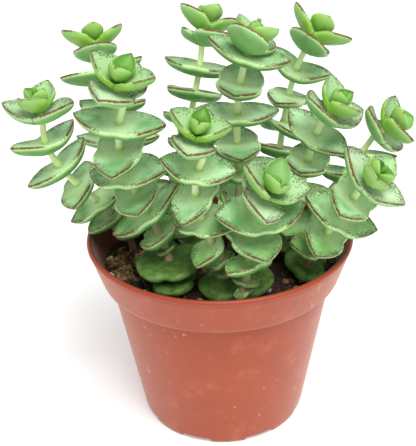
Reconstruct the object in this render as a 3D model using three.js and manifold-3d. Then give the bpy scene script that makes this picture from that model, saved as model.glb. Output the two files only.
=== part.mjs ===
// A string of buttons (a stacked succulent): twelve leafy stems in soil in a plastic nursery pot.
// Millimetres, +Z up, the front of the pot towards -Y, the pot's axis on Z and its underside at Z = 0.
import * as THREE from 'three';
import { mergeVertices } from 'three/addons/utils/BufferGeometryUtils.js';
import Module from 'manifold-3d';

// Pot: a standard 10.5 cm nursery pot with a wide collar, eight feet and eight drain holes
const RIM_RADIUS = 52.5;
const POT_HEIGHT = 80;
const WALL = 1.4;
const BEAD_HEIGHT = 1.5;
const COLLAR_HEIGHT = 16.8;
const COLLAR_TOP_RADIUS = RIM_RADIUS - 0.6;
const COLLAR_FOOT_RADIUS = 47.9;
const BODY_TOP_RADIUS = 44.5;
const BASE_RADIUS = 33.8;
const FLOOR_LIFT = 2;
const CENTRE_DISC_RADIUS = 16;
const FOOT_RING_RADIUS = 31;
const FEET = 8;
const FOOT_PHASE = 2;
const DRAIN_RADIUS = 3.5;
const DRAIN_CIRCLE = 24.5;
const POT_SEGMENTS = 48;

// Soil, 13 mm under the rim, with grains of perlite and bark on it
const SOIL_TOP = 67;
const SOIL_GAP = 0.35;
const SOIL_SEGMENTS = 28;
const SOIL_BUMP = 0.45;
const GRAINS = 8;
const GRAIN_SEED = 7;

// Stems: they leave the soil at STEM_FOOT and stand in plain holes below it
const STEM_FOOT = SOIL_TOP + 1;
const ROOT_DEPTH = 10;
const STEM_BASE_RADIUS = 1.5;
const STEM_TIP_RADIUS = 1.15;
const HOLE_RADIUS = STEM_BASE_RADIUS + 0.6;
const HOLE_SIDES = 6;
const STEM_SIDES = 5;
const PATH_STEPS = 160;
const NECK_STEPS = 10;
const STEM_RING_STRIDE = 40;

// Leaves: thickness in the middle of a pair, how far the sides stay full, how round an old leaf's end is,
// the waist where two leaves join, and the length over which a leaf bends up from the stem
const LEAF_THICKNESS = 5;
const YOUNG_THICKNESS = 3.2;
const OLD_THICKNESS = 5.2;
const STUB_THICKNESS = 3.4;
const FULLNESS = 2.6;
const STUB_ROUNDNESS = 0.7;
const OLD_ROUNDNESS = 0.55;
const WAIST = 0.88;
const WAIST_REACH = 0.16;
const YOUNG_WAIST = 0.5;
const YOUNG_WAIST_REACH = 0.3;
const BEND = 0.15;
const STATIONS = [0.22, 0.56, 0.86];
const YOUNG_STATIONS = [0.3, 0.78];
// Section across a leaf: share of the half width and thicknesses over the middle; young leaves are cupped
const SECTION = [[-1, 0.25], [0, 0.08], [1, 0.25], [0.88, -0.3], [0, -0.72], [-0.88, -0.3]];
const YOUNG_SECTION = [[-1, 0.85], [0, 0], [1, 0.85], [0.9, 0.25], [0, -0.75], [-0.9, 0.25]];
const TIP_LIFT = 0.16;
const YOUNG_TIP_LIFT = 0.4;
const LEAF_BREADTH = 1.12;
const YOUNG_BREADTH = 1.16;
// Rise in degrees of the pairs under those that a stem lists
const LOW_RISE = 2;
// The rosette's pairs by age, from full grown at 0 to the youngest: height over the rosette's foot, share of
// the rosette's leaf length, rise in degrees and how cupped the leaf is
const GROWTH = [
  { age: 0, lift: 0, size: 1, rise: 9, cup: 0.25 },
  { age: 1, lift: 4.8, size: 1, rise: 23, cup: 0.6 },
  { age: 1.5, lift: 6, size: 0.8, rise: 29, cup: 0.8 },
  { age: 2, lift: 7.2, size: 0.6, rise: 35, cup: 1 },
  { age: 2.5, lift: 7.8, size: 0.4, rise: 42, cup: 1 },
  { age: 3, lift: 8.4, size: 0.25, rise: 48, cup: 1 },
];
const BUD = { lift: 5.6, length: 5.4, radius: 1.7, wane: 1.35 };
// Leaves shrink below this height over the soil, down to the stem's own share at the soil
const SHRINK_HEIGHT = 26;
const LOWEST_PAIR = SOIL_TOP + 7;
// Room on the stem over its highest stub or disc
const LOW_ROOM = 4;

// Room kept between the leaves of different stems, the soil and the pot
const LEAF_GAP = 0.6;
const SOIL_ROOM = 1.2;
const POT_ROOM_RADIUS = 46.8;

// The stems, in the order in which they take their room: foot, two guide points and the bend under the
// rosette; the rosette's foot, lean, age from 0 to 1 and leaf length; distance to the first pair under the
// rosette and between pairs, length of the grown leaves, share of it left at the soil, and azimuth of each
// pair from the rosette's second pair down (later pairs go on by quarter turns); how far the grown pairs tilt
// from square to the stem and rise of each of their leaves; height and leaf length of the stubby pairs near the
// soil; and height, leaf length and breadth of the old discs at the foot.
const STEMS = [
  { name: 'stem_f', foot: [7, -25], low: [0, -31], high: [-15, -32], tip: [-5.3, -37.6, 128],
    crown: [-7.8, -36.5, 133.6], lean: [0.24, -0.26], stage: 0.4, young: 14.5,
    first: 11.7, gap: 11, leaf: 13.6, shrink: -0.1, turns: [-11, -101, -11, -116, -32, -105, 0, 10, 175],
    tilt: [-0.19, -0.11], rises: [10, -5, 5, 9], stubs: [[77.5, 6]], discs: [[72.6, 14.4, 1.45]] },
  { name: 'stem_c', foot: [-17, -27], low: [-20, -6], high: [-42, -27], tip: [-31.6, -26.9, 143.4],
    crown: [-33.5, -26, 148.3], lean: [0.28, -0.23], stage: 0.3, young: 15.5,
    first: 12.6, gap: 10.2, leaf: 16.4, shrink: -0.1,
    turns: [-21, -112, -10, -100, -21, -89, 3, 81, 55, 170, 80],
    tilt: [-0.11, 0], rises: [6, 1, -2, 6, -6, 8],
    stubs: [[83.2, 5]], discs: [[78.5, 13, 2], [72.6, 11.5, 1.4]] },
  { name: 'stem_i', foot: [6, -38.5], low: [10, -40.2], high: [10.5, -29], tip: [15, -41, 111.4],
    crown: [13.8, -40.2, 114], lean: [0.64, -0.33], stage: 0.04, young: 15,
    first: 10.3, gap: 9.8, leaf: 16.6, shrink: -0.15, turns: [3, -82, 11, -75, 45],
    tilt: [-0.16, 0], rises: [11, -3, -6], stubs: [[79.5, 6.2], [75.2, 4.8]], discs: [] },
  { name: 'stem_e', foot: [4, 6], low: [13, 0], high: [2, 4], tip: [12.4, -2, 154.4],
    crown: [12, -2.6, 155.2], lean: [0.45, 0.28], stage: 0.79, young: 15.4,
    first: 4.1, gap: 12.1, leaf: 15.8, shrink: 1, turns: [-29, -117, -6, -100, -1, -85],
    tilt: [0, 0], rises: [9, 9, 7], stubs: [], discs: [] },
  { name: 'stem_h', foot: [26, 2], low: [31, -11], high: [32, 1], tip: [38, -12.2, 130.6],
    crown: [39.6, -13.4, 132.7], lean: [0.65, -0.16], stage: 0.53, young: 15.8,
    first: 11.6, gap: 12.8, leaf: 14.5, shrink: 1, turns: [-55, 28, -46, -108, -20],
    tilt: [0, 0], rises: [7, 10, 6, 4], stubs: [], discs: [] },
  { name: 'stem_j', foot: [33, -17], low: [33, -22], high: [43, -28], tip: [49.1, -33.9, 114],
    crown: [50.3, -35, 115.5], lean: [0.8, -0.45], stage: 0.62, young: 15.1,
    first: 9.1, gap: 10, leaf: 15.3, shrink: 0.7, turns: [-117, -25, -118, -10, -107, 10],
    tilt: [0.1, -0.07], rises: [10, 6, 5, 4], stubs: [], discs: [[72.6, 12.5, 1.4]] },
  { name: 'stem_a', foot: [-36, 10], low: [-36.3, 7.2], high: [-66.5, -5.3], tip: [-63.9, -4.2, 127.6],
    crown: [-64.4, -4.1, 132.2], lean: [-0.1, 0], stage: 0.58, young: 15.5,
    first: 11.6, gap: 11.1, leaf: 14.6, shrink: 0.7, turns: [70, -16, -140, 31, -102, 6, 46],
    tilt: [0, 0.14], rises: [16, 9, 0, -3, -2], stubs: [], discs: [] },
  { name: 'stem_g', foot: [18, 20], low: [26, 16], high: [27, 46], tip: [35.9, 32.9, 141.6],
    crown: [37.1, 32.6, 144], lean: [0.71, 0.25], stage: 0.11, young: 15.7,
    first: 12.8, gap: 11.1, leaf: 14.6, shrink: 1, turns: [-12, -117, -18, -117, -59, 50],
    tilt: [0.07, -0.11], rises: [20, -4, -13, 4], stubs: [], discs: [] },
  { name: 'stem_b', foot: [-22, 22], low: [-48, 29], high: [-34, 19], tip: [-47.1, 33.8, 141.7],
    crown: [-46.8, 33.1, 142.6], lean: [-0.1, 0.34], stage: 0.27, young: 15.4,
    first: 9.5, gap: 13.1, leaf: 17.2, shrink: 0.9, turns: [15, -76, 8, -33, -8],
    tilt: [0.08, 0.04], rises: [11, 9, 3], stubs: [], discs: [] },
  { name: 'stem_k', foot: [38, 12], low: [36, 12], high: [53, 14], tip: [62.6, 16, 112.2],
    crown: [63.8, 13.5, 114], lean: [1.41, -0.23], stage: 0.11, young: 14.9,
    first: 13, gap: 11, leaf: 14.5, shrink: 1, turns: [-57, 8, -10, -75],
    tilt: [-0.6, 0.15], rises: [4, 4], stubs: [], discs: [] },
  { name: 'stem_d', foot: [-2, 22], low: [-23, 12], high: [-7, 38], tip: [-4.8, 36, 143.4],
    crown: [-3.9, 35.6, 147.3], lean: [0.3, 0.46], stage: 0, young: 13.4,
    first: 12.3, gap: 10.4, leaf: 15.1, shrink: 1, turns: [17, -52, -16, 43, -44, 59],
    tilt: [0, 0], rises: [4, 2, 1, 7], stubs: [], discs: [] },
  { name: 'stem_l', foot: [-8, 3], low: [-9, 3], high: [-12, 1], tip: [-11, 1, 95],
    crown: [-11, 1, 97], lean: [0.1, -0.2], stage: 0.3, young: 12,
    first: 8.5, gap: 8.5, leaf: 13, shrink: 0.9, turns: [20, -70, -60],
    tilt: [0, 0], rises: [8, 6], stubs: [], discs: [] },
];

const MATERIALS = {
  pot: { color: 0xc2674f, roughness: 0.55, metalness: 0 },
  soil: { color: 0x2e211a, roughness: 0.95, metalness: 0 },
  leaves: { color: 0x7fb069, roughness: 0.5, metalness: 0 },
};

const wasm = await Module();
wasm.setup();

const degrees = (a) => (a * Math.PI) / 180;
const vector = (x, y, z) => new THREE.Vector3(x, y, z);
const UP = vector(0, 0, 1);

// Closed solids and booleans

function toSolid(geometry) {
  const bare = geometry.clone();
  bare.deleteAttribute('normal');
  bare.deleteAttribute('uv');
  const merged = mergeVertices(bare, 1e-4);
  return new wasm.Manifold(new wasm.Mesh({
    numProp: 3,
    vertProperties: new Float32Array(merged.attributes.position.array),
    triVerts: new Uint32Array(merged.index.array),
  }));
}

function toGeometry(solid) {
  const mesh = solid.getMesh();
  const geometry = new THREE.BufferGeometry();
  geometry.setAttribute('position', new THREE.BufferAttribute(mesh.vertProperties, 3));
  geometry.setIndex(new THREE.BufferAttribute(mesh.triVerts, 1));
  return geometry;
}

function namedMesh(name, solid, material) {
  const mesh = new THREE.Mesh(toGeometry(solid), new THREE.MeshStandardMaterial(material));
  mesh.name = name;
  return mesh;
}

// A closed skin over rings of equal point counts, with a point before the first ring and one after the last
function loft(rings, start, end) {
  const count = rings[0].length;
  const points = [start, ...rings.flat(), end];
  const last = points.length - 1;
  const index = [];
  for (let k = 0; k < count; k += 1) {
    const next = (k + 1) % count;
    index.push(0, 1 + next, 1 + k);
    for (let r = 0; r + 1 < rings.length; r += 1) {
      const a = 1 + r * count;
      const b = a + count;
      index.push(a + k, a + next, b + next, a + k, b + next, b + k);
    }
    const top = 1 + (rings.length - 1) * count;
    index.push(last, top + k, top + next);
  }
  const geometry = new THREE.BufferGeometry();
  const numbers = points.flatMap((p) => p.toArray());
  geometry.setAttribute('position', new THREE.Float32BufferAttribute(numbers, 3));
  geometry.setIndex(index);
  return toSolid(geometry);
}

// A body turned round Z from [radius, height] points
function turned(profile, segments, phase) {
  const points = profile.map(([r, z]) => new THREE.Vector2(r, z));
  const geometry = new THREE.LatheGeometry(points, segments, degrees(phase));
  geometry.rotateX(Math.PI / 2);
  return geometry;
}

function uprightPost(x, y, bottom, top, radius, sides) {
  const geometry = new THREE.CylinderGeometry(radius, radius, top - bottom, sides);
  geometry.rotateX(Math.PI / 2);
  geometry.translate(x, y, (top + bottom) / 2);
  return toSolid(geometry);
}

// Pot

function potProfile() {
  const stepZ = POT_HEIGHT - COLLAR_HEIGHT;
  const beadZ = POT_HEIGHT - BEAD_HEIGHT;
  const outside = [
    [0, 0], [CENTRE_DISC_RADIUS, 0], [CENTRE_DISC_RADIUS + 2, FLOOR_LIFT],
    [FOOT_RING_RADIUS - 1.5, FLOOR_LIFT], [FOOT_RING_RADIUS, 0], [BASE_RADIUS - 0.6, 0], [BASE_RADIUS, 0.6],
    [BODY_TOP_RADIUS, stepZ], [COLLAR_FOOT_RADIUS - 0.7, stepZ], [COLLAR_FOOT_RADIUS, stepZ + 0.9],
    [COLLAR_TOP_RADIUS, beadZ],
  ];
  const bead = [
    [RIM_RADIUS, beadZ + 0.7], [RIM_RADIUS - 0.6, POT_HEIGHT],
    [RIM_RADIUS - 1.5, POT_HEIGHT], [RIM_RADIUS - 2.1, beadZ + 0.5],
  ];
  const inside = [
    [COLLAR_FOOT_RADIUS - 1.5, stepZ + WALL], [BODY_TOP_RADIUS - WALL - 0.1, stepZ - 0.3],
    [BASE_RADIUS - 2.3, FLOOR_LIFT + WALL], [CENTRE_DISC_RADIUS + 3, FLOOR_LIFT + WALL],
    [CENTRE_DISC_RADIUS + 1, WALL], [0, WALL],
  ];
  return [...outside, ...bead, ...inside];
}

// Wedge cut away between two feet, from the raised channel out past the wall
function footNotch(middle) {
  const half = 180 / FEET / 2;
  const inner = FOOT_RING_RADIUS - 3;
  const outer = BASE_RADIUS + 6;
  const ring = (z) => [[inner, -half], [outer, -half], [outer, half], [inner, half]].map(([r, a]) => {
    const angle = degrees(middle + a);
    return vector(r * Math.sin(angle), -r * Math.cos(angle), z);
  });
  const centre = (z) => vector(0, -inner - 2, z).applyAxisAngle(UP, degrees(middle));
  return loft([ring(-1), ring(FLOOR_LIFT)], centre(-1), centre(FLOOR_LIFT));
}

function pot() {
  const pitch = 360 / FEET;
  let solid = toSolid(turned(potProfile(), POT_SEGMENTS, FOOT_PHASE - pitch / 4));
  for (let k = 0; k < FEET; k += 1) {
    const middle = FOOT_PHASE + pitch * (k + 0.5);
    solid = solid.subtract(footNotch(middle));
    const a = degrees(FOOT_PHASE + pitch * k);
    const x = DRAIN_CIRCLE * Math.sin(a);
    const y = -DRAIN_CIRCLE * Math.cos(a);
    solid = solid.subtract(uprightPost(x, y, -1, FLOOR_LIFT + WALL + 1, DRAIN_RADIUS, 8));
  }
  return solid;
}

// Stems and where their pairs of leaves stand

// Points up the stem: a curve from the foot to the bend under the rosette, then straight to the rosette
function stemPath(stem) {
  const flat = (p) => vector(p[0], p[1], 0);
  const curve = new THREE.CubicBezierCurve3(flat(stem.foot), flat(stem.low), flat(stem.high), flat(stem.tip));
  const points = [];
  for (let k = 0; k <= PATH_STEPS; k += 1) {
    const t = k / PATH_STEPS;
    const p = curve.getPoint(t);
    p.z = STEM_FOOT + (stem.tip[2] - STEM_FOOT) * t;
    points.push(p);
  }
  const bend = points[PATH_STEPS];
  const crown = vector(...stem.crown);
  for (let k = 1; k <= NECK_STEPS; k += 1) points.push(bend.clone().lerp(crown, k / NECK_STEPS));
  return points;
}

// Point and direction of the stem at a distance down from the rosette
function onStem(points, distance) {
  const last = points.length - 1;
  let k = last;
  let walked = 0;
  while (k > 1 && walked + points[k].distanceTo(points[k - 1]) < distance) {
    walked += points[k].distanceTo(points[k - 1]);
    k -= 1;
  }
  const share = (distance - walked) / points[k].distanceTo(points[k - 1]);
  const point = points[k].clone().lerp(points[k - 1], Math.min(share, 1));
  const ahead = points[Math.min(k + 2, last)];
  const behind = points[Math.max(k - 3, 0)];
  return { point, axis: ahead.clone().sub(behind).normalize() };
}

function pairAzimuth(stem, level) {
  const k = level + 2;
  const known = stem.turns.length;
  if (k < 0) return stem.turns[0] - 90 * k;
  return k < known ? stem.turns[k] : stem.turns[known - 1] + 90 * (k - known + 1);
}

function pairRise(stem, level) {
  return level < stem.rises.length ? stem.rises[level] : LOW_RISE;
}

// Height, size, rise and cup of a rosette's pair of any age, between those of GROWTH
function grownTo(age) {
  const k = Math.max(GROWTH.findIndex((entry) => entry.age >= age), 1);
  const [younger, older] = [GROWTH[k], GROWTH[k - 1]];
  const share = (age - older.age) / (younger.age - older.age);
  const between = (key) => THREE.MathUtils.lerp(older[key], younger[key], share);
  return { lift: between('lift'), size: between('size'), rise: between('rise'), cup: between('cup') };
}

// A pair of the rosette: level -1 is the outer one and -3 the inner one
function youngPair(stem, level, axis) {
  const { lift, size, rise, cup } = grownTo(stem.stage - 1 - level);
  const height = lift - grownTo(stem.stage).lift;
  return {
    level, axis, point: vector(...stem.crown).addScaledVector(axis, height), length: stem.young * size,
    rise, cup, breadth: YOUNG_BREADTH, thickness: THREE.MathUtils.lerp(LEAF_THICKNESS, YOUNG_THICKNESS, cup),
    roundness: 1,
  };
}

// A pair's axis: the stem's own direction with the tilt added
function tilted(axis, tilt) {
  return axis.clone().divideScalar(axis.z).add(vector(tilt[0], tilt[1], 0)).normalize();
}

// The stubs and discs of a stem, from the top
function lowPairs(stem) {
  const stubs = stem.stubs.map(([z, length]) => (
    { z, length, breadth: LEAF_BREADTH, thickness: STUB_THICKNESS, roundness: STUB_ROUNDNESS }));
  const discs = stem.discs.map(([z, length, breadth]) => (
    { z, length, breadth, thickness: OLD_THICKNESS, roundness: OLD_ROUNDNESS }));
  return [...stubs, ...discs];
}

// Every pair of a stem: the rosette has levels -3 to -1, and level 0 is the pair under it
function pairsOf(stem) {
  const points = stemPath(stem);
  const crown = { point: points[points.length - 1], axis: vector(stem.lean[0], stem.lean[1], 1).normalize() };
  const pairs = [-1, -2, -3].map((level) => youngPair(stem, level, crown.axis));
  const low = lowPairs(stem);
  const lowest = low.length ? low[0].z + LOW_ROOM : LOWEST_PAIR;
  let level = 0;
  let distance = stem.first;
  let place = onStem(points, distance);
  while (place.point.z > lowest) {
    const height = Math.min((place.point.z - SOIL_TOP) / SHRINK_HEIGHT, 1);
    const share = stem.shrink + (1 - stem.shrink) * height;
    pairs.push({
      level, axis: tilted(place.axis, stem.tilt), point: place.point, length: share * stem.leaf,
      rise: pairRise(stem, level), cup: 0, breadth: LEAF_BREADTH, thickness: LEAF_THICKNESS, roundness: 1,
    });
    distance += stem.gap * (height < 1 ? 0.8 : 1);
    place = onStem(points, distance);
    level += 1;
  }
  for (const shape of low) {
    while (place.point.z > shape.z) {
      distance += 0.2;
      place = onStem(points, distance);
    }
    while (place.point.z < shape.z) {
      distance -= 0.2;
      place = onStem(points, distance);
    }
    pairs.push({ ...shape, level, point: place.point, axis: tilted(UP, stem.tilt), rise: LOW_RISE, cup: 0 });
    level += 1;
  }
  for (const pair of pairs) pair.azimuth = pairAzimuth(stem, pair.level);
  return { stem, points, crown, pairs };
}

// Leaves

function makeLeaf(pair, azimuth, rise, length) {
  const a = degrees(azimuth);
  const out = vector(Math.cos(a), Math.sin(a), 0);
  out.addScaledVector(pair.axis, -out.dot(pair.axis)).normalize();
  const side = pair.axis.clone().cross(out);
  return { ...pair, out, side, rise: degrees(rise), length };
}

// Half width of a leaf by its distance from the stem: a waist, full sides, then a pointed or round end
function halfWidth(leaf, s) {
  const narrow = THREE.MathUtils.lerp(WAIST, YOUNG_WAIST, leaf.cup);
  const reach = THREE.MathUtils.lerp(WAIST_REACH, YOUNG_WAIST_REACH, leaf.cup);
  const waist = 1 - (1 - narrow) * Math.exp(-((s / reach) ** 2));
  const taper = (1 - s ** FULLNESS) ** leaf.roundness;
  return (leaf.length * leaf.breadth * waist * taper) / 2;
}

function thickness(leaf, s) {
  return leaf.thickness * (1 - 0.35 * s * s);
}

// Point of a leaf: s from the stem to the tip, q across from -1 to 1, lift in thicknesses over the middle
function leafPoint(leaf, s, q, lift) {
  const span = Math.sqrt(1 + BEND * BEND) - BEND;
  const bend = Math.sqrt(s * s + BEND * BEND);
  const forward = Math.cos(leaf.rise);
  const climb = (Math.sin(leaf.rise) * s) / (bend * span);
  const normal = leaf.axis.clone().multiplyScalar(forward).addScaledVector(leaf.out, -climb).normalize();
  return leaf.point.clone()
    .addScaledVector(leaf.out, leaf.length * s * forward)
    .addScaledVector(leaf.axis, (leaf.length * Math.sin(leaf.rise) * (bend - BEND)) / span)
    .addScaledVector(leaf.side, q * halfWidth(leaf, s))
    .addScaledVector(normal, lift * thickness(leaf, s));
}

// Two leaves joined round the stem, as one closed skin from tip to tip
function pairSolid([first, second]) {
  const blend = (flat, cupped) => THREE.MathUtils.lerp(flat, cupped, first.cup);
  const section = SECTION.map((flat, k) => flat.map((value, n) => blend(value, YOUNG_SECTION[k][n])));
  const isSmall = first.level < 0 || first.thickness === STUB_THICKNESS;
  const stations = isSmall ? YOUNG_STATIONS : STATIONS;
  const ring = (leaf, s, hand) => section.map(([q, lift]) => leafPoint(leaf, s, hand * q, lift));
  const waist = first.level === -2 ? [ring(first, 0, 1)] : [];
  const rings = [
    ...stations.toReversed().map((s) => ring(first, s, 1)),
    ...waist,
    ...stations.map((s) => ring(second, s, -1)),
  ];
  const tip = (leaf) => leafPoint(leaf, 1, 0, blend(TIP_LIFT, YOUNG_TIP_LIFT));
  return loft(rings, tip(first), tip(second));
}

// The closed young leaves in the middle of a rosette
function budSolid({ stem, crown: { point, axis } }) {
  const base = makeLeaf({ point, axis }, pairAzimuth(stem, -3) + 90, 0, 1);
  const widest = BUD.radius * (BUD.wane - stem.stage);
  const levels = [[0.15, 0.7], [0.45, 1], [0.8, 0.6]];
  const rings = levels.map(([h, r]) => [0, 1, 2, 3, 4, 5].map((k) => {
    const a = degrees(60 * k);
    return point.clone()
      .addScaledVector(axis, BUD.lift + h * BUD.length)
      .addScaledVector(base.out, widest * r * Math.cos(a))
      .addScaledVector(base.side, 0.7 * widest * r * Math.sin(a));
  }));
  const end = (h) => point.clone().addScaledVector(axis, BUD.lift + h * BUD.length);
  return loft(rings, end(-0.1), end(1));
}

function stemSolid({ points, crown }) {
  const foot = points[0];
  const line = [vector(foot.x, foot.y, foot.z - ROOT_DEPTH)];
  for (let k = 0; k <= PATH_STEPS; k += STEM_RING_STRIDE) line.push(points[k]);
  line.push(crown.point, crown.point.clone().addScaledVector(crown.axis, BUD.lift));
  const rings = line.map((p, k) => {
    const along = k === 0 || k === 1 ? UP : line[Math.min(k + 1, line.length - 1)].clone().sub(line[k - 1]);
    const across = vector(1, 0, 0).addScaledVector(along, -along.x / along.lengthSq()).normalize();
    const other = along.clone().cross(across).normalize();
    const radius = THREE.MathUtils.lerp(STEM_BASE_RADIUS, STEM_TIP_RADIUS, k / (line.length - 1));
    return Array.from({ length: STEM_SIDES }, (_, n) => {
      const a = (2 * Math.PI * n) / STEM_SIDES;
      return p.clone()
        .addScaledVector(across, radius * Math.cos(a))
        .addScaledVector(other, radius * Math.sin(a));
    });
  });
  return loft(rings, line[0], line[line.length - 1]);
}

// The clearing rule: each leaf is felt with small balls, and lifts, swings or stops short until it is clear

// Rows of balls by their place along the leaf, each with its count of balls on either side of the middle
const FEELER_ROWS = [[0.08, 4], [0.25, 4], [0.4, 4], [0.53, 4], [0.66, 3], [0.78, 2], [0.9, 1], [1, 0]];
const FEELER_SPREAD = 0.9;
const FEELERS = FEELER_ROWS.flatMap(([s, n]) =>
  Array.from({ length: 2 * n + 1 }, (_, k) => ({ s, q: n ? (k / n - 1) * FEELER_SPREAD : 0 })));
// In thicknesses of the leaf: how deep a ball lies and its radius, at the edge and more in the middle
const FEELER_DEPTH = [0.03, 0.21];
const FEELER_RADIUS = [0.27, 0.13];
const YOUNG_CUP = 0.55;
const FEELER_RANGE = 18;

function ballsOf(leaf) {
  return FEELERS.map(({ s, q }) => {
    const bulge = 1 - q * q;
    const cup = leaf.cup * YOUNG_CUP * q * q;
    const centre = leafPoint(leaf, s, q, cup - FEELER_DEPTH[0] - FEELER_DEPTH[1] * bulge);
    return { centre, radius: thickness(leaf, s) * (FEELER_RADIUS[0] + FEELER_RADIUS[1] * bulge) };
  });
}

function isClear(balls, others) {
  for (const { centre, radius } of balls) {
    const reach = Math.hypot(centre.x, centre.y) + radius;
    if (centre.z - radius < POT_HEIGHT + 0.5 && reach > POT_ROOM_RADIUS) return false;
    if (centre.z - radius < SOIL_TOP + SOIL_ROOM) return false;
  }
  const middle = balls[Math.floor(balls.length / 3)].centre;
  for (const other of others) {
    if (other.centre.distanceToSquared(middle) > FEELER_RANGE ** 2) continue;
    for (const { centre, radius } of balls) {
      const need = radius + other.radius + LEAF_GAP;
      if (centre.distanceToSquared(other.centre) < need * need) return false;
    }
  }
  return true;
}

// Changes a leaf may make, the least first: rise and swing in degrees, and share of its length
const CHANGES = [];
for (let rise = -36; rise <= 60; rise += 6) {
  for (let swing = -24; swing <= 24; swing += 8) {
    for (let size = 10; size >= 4; size -= 1) {
      const tie = (rise < 0 ? 2 : 0) + (swing < 0 ? 1 : 0);
      const cost = Math.abs(rise) + Math.abs(swing) + 9 * (10 - size) + tie;
      CHANGES.push({ rise, swing, size: size / 10, cost });
    }
  }
}
CHANGES.sort((a, b) => a.cost - b.cost || a.size - b.size || a.rise - b.rise);

function growLeaves(plants) {
  const levels = plants.flatMap((plant) => plant.pairs.map((pair) => pair.level));
  const balls = new Map(plants.map((plant) => [plant, plant.points.filter((_, k) => k % 3 === 0)
    .map((centre) => ({ centre, radius: STEM_BASE_RADIUS }))]));
  for (let level = Math.min(...levels); level <= Math.max(...levels); level += 1) {
    for (const plant of plants) {
      for (const pair of plant.pairs.filter((p) => p.level === level)) {
        const others = plants.filter((p) => p !== plant).flatMap((p) => balls.get(p));
        pair.leaves = [0, 180].map((half) => {
          for (const { rise, swing, size } of CHANGES) {
            const leaf = makeLeaf(pair, pair.azimuth + half + swing, pair.rise + rise, pair.length * size);
            const felt = ballsOf(leaf);
            if (isClear(felt, others)) {
              balls.get(plant).push(...felt);
              return leaf;
            }
          }
          return null;
        });
      }
    }
  }
  return plants.flatMap((plant) => balls.get(plant));
}

// Soil

const soilTop = (x, y) => SOIL_TOP + SOIL_BUMP * Math.sin(0.31 * x + 1.3) * Math.cos(0.27 * y - 0.4);

function soilProfile() {
  const stepZ = POT_HEIGHT - COLLAR_HEIGHT;
  return [
    [0, WALL + SOIL_GAP], [CENTRE_DISC_RADIUS + 0.8, WALL + SOIL_GAP],
    [CENTRE_DISC_RADIUS + 2.8, FLOOR_LIFT + WALL + SOIL_GAP],
    [BASE_RADIUS - 2.8, FLOOR_LIFT + WALL + SOIL_GAP],
    [BODY_TOP_RADIUS - WALL - 0.6, stepZ], [COLLAR_FOOT_RADIUS - 2, stepZ + WALL + 0.3],
    [COLLAR_FOOT_RADIUS - 1.5, SOIL_TOP - 0.6],
    [41, SOIL_TOP], [29, SOIL_TOP], [15, SOIL_TOP], [0, SOIL_TOP],
  ];
}

function seededRandom(seed) {
  let state = seed;
  return () => {
    state = (state * 16807) % 2147483647;
    return state / 2147483647;
  };
}

// Grains of perlite and bark, half sunk in the soil wherever no stem or leaf is near
function addGrains(solid, balls) {
  const random = seededRandom(GRAIN_SEED);
  let result = solid;
  let left = GRAINS;
  while (left > 0) {
    const a = 2 * Math.PI * random();
    const r = 42 * Math.sqrt(random());
    const radius = 1.3 + 1.2 * random();
    const centre = vector(r * Math.cos(a), r * Math.sin(a), 0);
    centre.z = soilTop(centre.x, centre.y);
    const turn = Math.PI * random();
    if (balls.some((ball) => ball.centre.distanceTo(centre) < ball.radius + radius + 1.5)) continue;
    const grain = new THREE.IcosahedronGeometry(radius);
    grain.scale(1, 0.8, 0.7);
    grain.rotateZ(turn);
    grain.translate(centre.x, centre.y, centre.z);
    result = result.add(toSolid(grain));
    left -= 1;
  }
  return result;
}

function soil(balls) {
  const geometry = turned(soilProfile(), SOIL_SEGMENTS, 0);
  const position = geometry.attributes.position;
  for (let k = 0; k < position.count; k += 1) {
    if (position.getZ(k) > SOIL_TOP - 0.1) {
      position.setZ(k, soilTop(position.getX(k), position.getY(k)));
    }
  }
  let solid = toSolid(geometry);
  for (const { foot } of STEMS) {
    const bottom = STEM_FOOT - ROOT_DEPTH - 0.4;
    solid = solid.subtract(uprightPost(foot[0], foot[1], bottom, POT_HEIGHT, HOLE_RADIUS, HOLE_SIDES));
  }
  return addGrains(solid, balls);
}

// A solid without the hollows sealed in it, such as between the cupped leaves of a rosette
function withoutHollows(solid) {
  return wasm.Manifold.compose(solid.decompose().filter((part) => part.volume() > 0));
}

function stemWithLeaves(plant) {
  let solid = stemSolid(plant);
  for (const pair of plant.pairs) {
    if (!pair.leaves.includes(null)) solid = solid.add(pairSolid(pair.leaves));
  }
  return withoutHollows(solid.add(budSolid(plant)));
}

const plants = STEMS.map(pairsOf);
const allBalls = growLeaves(plants);

const object = new THREE.Group();
object.add(namedMesh('pot', pot(), MATERIALS.pot));
object.add(namedMesh('soil', soil(allBalls), MATERIALS.soil));
for (const plant of plants) object.add(namedMesh(plant.stem.name, stemWithLeaves(plant), MATERIALS.leaves));

export default object;
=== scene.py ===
"""Finished look of a potted string of buttons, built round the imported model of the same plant."""

import math
from dataclasses import dataclass, replace
from itertools import combinations, product

import bpy
import numpy as np
from mathutils import Matrix, Vector, noise


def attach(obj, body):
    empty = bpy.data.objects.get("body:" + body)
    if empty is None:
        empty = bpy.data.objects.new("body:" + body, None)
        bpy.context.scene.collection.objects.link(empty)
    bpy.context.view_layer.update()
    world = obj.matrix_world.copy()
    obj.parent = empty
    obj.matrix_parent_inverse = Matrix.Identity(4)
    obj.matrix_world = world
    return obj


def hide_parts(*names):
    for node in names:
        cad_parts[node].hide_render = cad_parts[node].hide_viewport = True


MM = 0.001

# Camera, fitted to the photograph: a long lens that looks down at the middle of the plant
IMAGE_HEIGHT = 446
FOCAL_PIXELS = 900
CAMERA_TARGET = (-4.47, 0, 83.26)
CAMERA_DISTANCE = 355.13
CAMERA_ELEVATION = 28.13
CAMERA_ROLL = -1.8
SENSOR_WIDTH = 36

# Studio: a white sky, one soft box and a floor that glows a little
SKY_STRENGTH = 0.65
KEY_PLACE = (200, -550, 1200)
KEY_AIM = (0, 0, 80)
KEY_SIZE = 700
KEY_POWER = 17
FLOOR_REACH = 3000
FLOOR_GLOW = 0.25

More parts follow.
